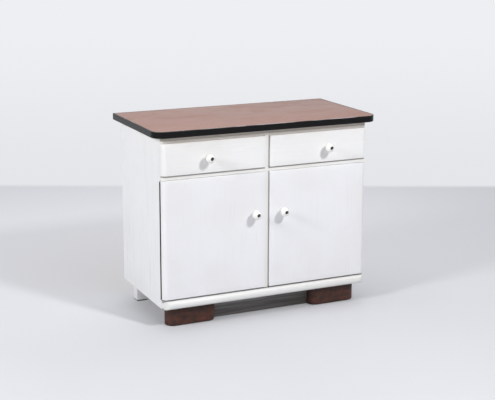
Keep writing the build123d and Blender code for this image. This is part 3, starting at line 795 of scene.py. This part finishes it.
def front_board(node, name, hand, finish, body):
    """One drawer or door front in place of its node."""
    low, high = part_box(node)
    far = low.x if hand < 0 else high.x
    near = high.x if hand < 0 else low.x
    shape = block(low, high)
    round_off(shape, edges_at(shape, x=far, y=low.y), outer_r, 12)
    round_off(shape, edges_at(shape, x=near, y=low.y), inner_r, 4)
    round_off(shape, edges_at(shape, x=far, y=high.y), back_r, 3)
    rims = [edge for z in (low.z, high.z) for edge in edges_at(shape, z=z)]
    rims = [edge for edge in rims if min(vertex.co.y for vertex in edge.verts) < high.y - 0.1 * MM]
    round_off(shape, rims, ease_r, 3)
    cut_every(shape, "x", low.x, high.x, grid_step)
    cut_every(shape, "z", low.z, high.z, grid_step)
    for vertex in shape.verts:
        if vertex.co.y < low.y + outer_r * 0.9:
            place = vertex.co * 9
            vertex.co.y += abs(noise.noise(Vector((place.x, hand * 3.0, place.z)))) * face_wave
    return finish_piece(shape, name, finish, body, "white_paint", node)


for side, hand in hands.items():
    front_board(f"drawer_{side}_front", f"drawer_{side}_face", hand, drawer_white, f"drawer_{side}")
    front_board(f"door_{side}_panel", f"door_{side}_face", hand, door_white, f"door_{side}")

# %% [markdown]
# ## Nosed rail
# The rail under the doors has a full-round nose. Its ends are rounded in plan as a joiner does it: a dozen
# flat strokes of the rasp, each turned a little further, then sandpaper twice over the arris. Each stroke is
# a bisect that throws away what lies outside it, and the sandpaper is a smoothing of the ends alone.

# %% Nosed rail
rail_end_r = 36 * MM
rail_strokes = 12
rail_sandings = 2
sanding_share = 0.35
rail_low, rail_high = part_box("front_bottom_rail")


def nosed_rail():
    """The rail, with its round nose and its ends rounded in plan."""
    shape = block(rail_low, rail_high)
    nose_r = (rail_high.z - rail_low.z) / 2 - 0.05 * MM
    noses = edges_at(shape, y=rail_low.y, z=rail_low.z) + edges_at(shape, y=rail_low.y, z=rail_high.z)
    round_off(shape, noses, nose_r, 12)
    for hand in hands.values():
        centre = Vector((hand * (rail_high.x - rail_end_r), rail_low.y + rail_end_r, 0.0))
        for stroke in range(rail_strokes):
            angle = math.radians(90) * (stroke + 0.5) / rail_strokes
            outward = Vector((hand * math.cos(angle), -math.sin(angle), 0.0))
            geometry = shape.verts[:] + shape.edges[:] + shape.faces[:]
            made = bmesh.ops.bisect_plane(
                shape, geom=geometry, plane_co=centre + outward * rail_end_r, plane_no=outward,
                clear_outer=True, dist=0.001 * MM,
            )
            rim = [item for item in made["geom_cut"] if isinstance(item, bmesh.types.BMEdge)]
            bmesh.ops.holes_fill(shape, edges=rim, sides=0)
    return shape


rail = nosed_rail()
arris = [vertex for vertex in rail.verts if abs(vertex.co.x) > rail_high.x - rail_end_r + 1 * MM]
arris = [vertex for vertex in arris if vertex.co.y < rail_high.y - 0.5 * MM]
for _ in range(rail_sandings):
    bmesh.ops.smooth_vert(
        rail, verts=arris, factor=sanding_share, use_axis_x=False, use_axis_y=True, use_axis_z=True,
    )
finish_piece(rail, "nosed_rail", rail_white_shaded, "root", "white_paint", "front_bottom_rail", sharp=42.0)

# %% [markdown]
# ## Beads between the fronts
# Beads stand forward of the frame and fill the gaps between the fronts, a few millimetres behind the faces.
# The two long ones have rounded ends, and every arris that a hand can reach is eased. They're one painted
# piece of joinery, so they're drawn into one mesh. Painted shade lies right under the drawers, along the
# right of the upright beads and under the worktop, and a dark joint line runs under the worktop.

# %% Beads
bead_end_r = 12 * MM
bead_ease = 0.9 * MM
bead_play = 1 * MM
bead_low, bead_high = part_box("front_beads")
drawer_low, drawer_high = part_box("drawer_right_front")
door_top_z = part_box("door_right_panel")[1].z
mid_z = (door_top_z + bead_play, drawer_low.z - bead_play)
top_z = (drawer_high.z + bead_play, bead_high.z)
upright_x = drawer_low.x - bead_play


def add_bead(shape, half_width, low_z, high_z, end_r=0.0):
    """Adds one bead with its front arrises eased; a long one also gets ends rounded in plan."""
    bead = block((-half_width, bead_low.y, low_z), (half_width, bead_high.y, high_z))
    arrises = [edge for x in (-half_width, half_width) for edge in edges_at(bead, x=x, y=bead_low.y)]
    if end_r:
        round_off(bead, arrises, end_r, 10)
        rims = [edge for z in (low_z, high_z) for edge in edges_at(bead, z=z)]
        arrises = [edge for edge in rims if min(end.co.y for end in edge.verts) < bead_high.y - 0.1 * MM]
    round_off(bead, arrises, bead_ease, 3)
    part = bpy.data.meshes.new("bead")
    bead.to_mesh(part)
    bead.free()
    shape.from_mesh(part)
    bpy.data.meshes.remove(part)


print("beads from", bead_low.z, "to", bead_high.z, "m high")

# %% Painted shade along the beads
gap_shade_tone = tone(168, 165, 160)
shade_right_of = upright_x - 5.0 * MM
shade_full_at = upright_x - 3.5 * MM
top_shade_up = 8.0 * MM
top_shade_share = 0.78
joint_up = 11.0 * MM


def paint_gap_shade(finish):
    """Paints shade along the beads, right under the drawers, right of the upright bead and under the top,
    with a dark joint line under the top.
    """
    depth = finish.axis("Y")
    height = finish.axis("Z")
    side = finish.axis("X")
    forward = finish.span(depth, bead_high.y - 3.0 * MM, bead_high.y - 2.0 * MM, 1.0, 0.0)

    under_drawer = finish.span(height, mid_z[1] - 7.5 * MM, mid_z[1] - 5.5 * MM)
    not_above = finish.span(height, mid_z[1] + 0.2 * MM, mid_z[1] + 0.4 * MM, 1.0, 0.0)
    level_shade = finish.math("MULTIPLY", under_drawer, not_above)
    left_of_drawer = finish.span(side, shade_right_of, shade_full_at, 1.0, 0.0)
    right_of_drawer = finish.span(side, -upright_x - 2.0 * MM, -upright_x)
    unshaded_middle = finish.math("MULTIPLY", left_of_drawer, right_of_drawer)
    level_shade = finish.math("MULTIPLY", level_shade, finish.math("SUBTRACT", 1.0, unshaded_middle))

    right_part = finish.span(side, shade_right_of, shade_full_at)
    on_bead = finish.span(side, upright_x + 0.3 * MM, upright_x + 0.5 * MM, 1.0, 0.0)
    beside = finish.math("MULTIPLY", right_part, on_bead)
    below = finish.span(height, mid_z[0] - 0.4 * MM, mid_z[0] - 0.2 * MM, 1.0, 0.0)
    under_top_bead = finish.span(height, top_z[0] - 0.4 * MM, top_z[0] - 0.2 * MM, 1.0, 0.0)
    above = finish.math("MULTIPLY", finish.math("SUBTRACT", 1.0, not_above), under_top_bead)
    upright_shade = finish.math("MULTIPLY", beside, finish.math("ADD", below, above))

    top_shade_z = top_z[0] + top_shade_up
    overhang_shade = finish.span(height, top_shade_z, top_shade_z + 2.0 * MM, 0.0, top_shade_share)
    joint = finish.math("ABSOLUTE", finish.math("SUBTRACT", height, top_z[0] + joint_up))
    joint_line = finish.span(joint, 0.6 * MM, 1.5 * MM, 1.0, 0.0)

    # The mask called dust below is painted shade, together with the dark joint line.
    between = finish.math("MAXIMUM", level_shade, upright_shade)
    dust = finish.math("MAXIMUM", between, finish.math("MAXIMUM", overhang_shade, joint_line))
    painted = finish.shader.inputs["Base Color"].links[0].from_socket
    finish.set("Base Color", finish.mix(finish.math("MULTIPLY", dust, forward), painted, gap_shade_tone))


# Paints the shade along the beads into the bead white.
paint_gap_shade(bead_white)
print("dust along", bead_white.material.name)

# %% One mesh of beads
bead_wave = 0.2 * MM
beads = bmesh.new()
add_bead(beads, bead_high.x, *mid_z, bead_end_r)
add_bead(beads, bead_high.x, *top_z, bead_end_r)
add_bead(beads, upright_x, mid_z[1], top_z[0])
add_bead(beads, upright_x, bead_low.z, mid_z[0])
cut_every(beads, "x", bead_low.x, bead_high.x, grid_step)
cut_every(beads, "z", bead_low.z, bead_high.z, grid_step)
for vertex in beads.verts:
    if vertex.co.y < bead_low.y + 2 * bead_ease:
        place = vertex.co * 11
        vertex.co.y += abs(noise.noise(Vector((place.x, 8.0, place.z)))) * bead_wave
finish_piece(beads, "front_bead_frame", bead_white, "root", "white_paint", "front_beads")

# %% [markdown]
# ## Ball knobs
# A knob is turned on a lathe, so it is drawn as half a profile and spun: a small foot, a short neck that
# flares into the ball, a round recess for the screw's head and a bore for its shank. Where the flare meets
# the ball follows from the two radii, so both curves run into each other without a kink.

# %% Ball knobs
ball_r = 19.5 * MM
ball_reach = 34 * MM
neck_r = 6.5 * MM
foot_r = 9 * MM
foot_height = 3.5 * MM
recess_r = 8.2 * MM
recess_depth = 6 * MM
bore_r = 2.6 * MM
foot_ease = 1.0 * MM
cove_r = 1.4 * MM
flare_r = 3.0 * MM
rim_round = 0.4 * MM
knob_turns = 56


def arc(centre, radius, start, end, steps):
    """Points of an arc in the profile's plane, as pairs of a radius and a reach."""
    points = []
    for index in range(steps + 1):
        angle = math.radians(start + (end - start) * index / steps)
        points.append((centre[0] + radius * math.cos(angle), centre[1] + radius * math.sin(angle)))
    return points


def knob_profile():
    """Half of the knob's section, from the bore at its foot to the floor of the screw's recess."""
    flare_side = neck_r + flare_r
    flare_span = ball_r + flare_r
    flare_drop = (flare_span**2 - flare_side**2) ** 0.5
    meeting = math.degrees(math.acos(flare_side / flare_span))
    rim_r = recess_r + rim_round
    rim_angle = math.degrees(math.acos(rim_r / ball_r))
    rim_reach = ball_reach + ball_r * math.sin(math.radians(rim_angle))
    floor_reach = ball_reach + (ball_r**2 - recess_r**2) ** 0.5 - recess_depth
    profile = [(bore_r, 0.0), (foot_r - 0.3 * MM, 0.0)]
    profile += arc((foot_r - foot_ease, foot_height - foot_ease), foot_ease, 0, 90, 4)
    profile += arc((neck_r + cove_r, foot_height + cove_r), cove_r, 270, 180, 4)
    profile += arc((flare_side, ball_reach - flare_drop), flare_r, 180, 180 - meeting, 4)
    profile += arc((0.0, ball_reach), ball_r, -meeting, rim_angle, 30)[1:]
    profile += arc((rim_r, rim_reach - rim_round), rim_round, 90, 180, 4)
    profile += [(recess_r, floor_reach), (bore_r, floor_reach)]
    return profile


print(len(knob_profile()), "points in the knob's profile")

# %% Four knobs


def ball_knob(node, name, body):
    """One knob, spun about its own axis, which points out of the front."""
    low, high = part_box(node)
    shape = bmesh.new()
    centre = Vector(((low.x + high.x) / 2, 0.0, (low.z + high.z) / 2))
    points = [centre + Vector((radius, high.y - reach, 0.0)) for radius, reach in knob_profile()]
    chain = [shape.verts.new(point) for point in points]
    chain += [shape.edges.new((chain[index - 1], chain[index])) for index in range(len(points))]
    bmesh.ops.spin(
        shape, geom=chain, cent=centre, axis=(0, 1, 0), angle=math.radians(360),
        steps=knob_turns, use_merge=True,
    )
    return finish_piece(shape, name, knob_white, body, "knob_white", node, sharp=50.0)


for kind in ("drawer", "door"):
    for side in hands:
        ball_knob(f"{kind}_{side}_knob", f"{kind}_{side}_ball", f"{kind}_{side}")

# %% [markdown]
# ## Feet, board and posts
# The front blocks have ends rounded in plan and an eased sole. The posts at the back are square and
# painted with the carcass. The board behind the blocks is rough sawn, so its face is waved a little more.

# %% Feet and posts
block_end_r = 36 * MM
block_sole_r = 8 * MM
post_edge_r = 2 * MM
post_sole_ease = 1 * MM

for side, hand in hands.items():
    low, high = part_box(f"front_foot_{side}")
    foot = block(low, high)
    ends = edges_at(foot, x=low.x, y=low.y) + edges_at(foot, x=high.x, y=low.y)
    round_off(foot, ends, block_end_r, 14)
    sole = edges_at(foot, z=low.z)
    sole = [edge for edge in sole if min(end.co.y for end in edge.verts) < high.y - 0.1 * MM]
    round_off(foot, sole, block_sole_r, 6)
    finish_piece(foot, f"front_block_{side}", brown_block, "root", "brown_wood", f"front_foot_{side}")

    low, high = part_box(f"rear_leg_{side}")
    post = block(low, high)
    uprights = [edge for x in (low.x, high.x) for y in (low.y, high.y) for edge in edges_at(post, x=x, y=y)]
    round_off(post, uprights, post_edge_r, 4)
    round_off(post, edges_at(post, z=low.z), post_sole_ease, 2)
    finish_piece(post, f"rear_post_{side}", side_white, "root", "white_paint", f"rear_leg_{side}")

# %% Rough board
saw_wave = 0.25 * MM
low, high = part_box("kick_board")
board = block(low, high)
round_off(board, board.edges[:], ease_r, 2)
cut_every(board, "x", low.x, high.x, 12 * MM)
cut_every(board, "z", low.z, high.z, 8 * MM)
for vertex in board.verts:
    place = Vector((vertex.co.x * 5, 0.0, vertex.co.z * 60))
    if vertex.co.y < low.y + 0.5 * MM:
        vertex.co.y += abs(noise.noise(place)) * saw_wave
finish_piece(board, "rough_kick_board", dark_board, "root", "dark_board", "kick_board")

# %% [markdown]
# ## Finishes for the joinery that stays
# The other boards and fittings already have the right shape, so they keep it and only get their finish.
# Each one's list of material slots is emptied first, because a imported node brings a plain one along.

# %% Finishes for the rest


def dress(finish, *names):
    """Gives a finish to nodes that keep their own shape."""
    for name in names:
        nodes[name].data.materials.clear()
        nodes[name].data.materials.append(finish.material)


dress(side_white, "side_panel_left", "side_panel_right")
dress(bead_white, "front_mid_rail", "front_top_rail", "centre_stile_upper", "centre_stile_lower")
dress(bead_white, "hinge_upper_left", "hinge_upper_right")
dress(inside_white, "bottom_panel", "centre_partition", "shelf_left", "shelf_right")
dress(ply_upright, "back_panel")
dress(pine_across, "rear_top_rails", "top_core", "shelf_pegs", "drawer_stops", "corner_blocks")
dress(pine_deep, "drawer_runners", "drawer_kickers")
dress(felt, "rear_leg_pads")
dress(dull_steel, "back_panel_screws", "hinge_screws", "door_catches")
for side in hands:
    dress(dull_steel, f"hinge_lower_{side}", f"door_{side}_hinge_bushes", f"door_{side}_strike")
    dress(pine_deep, f"drawer_{side}_side_inner", f"drawer_{side}_side_outer")
    dress(pine_across, f"drawer_{side}_back")
    dress(ply_across, f"drawer_{side}_bottom")
    dress(dark_screw, f"drawer_{side}_knob_screw", f"door_{side}_knob_screw")
print("all joinery finished")
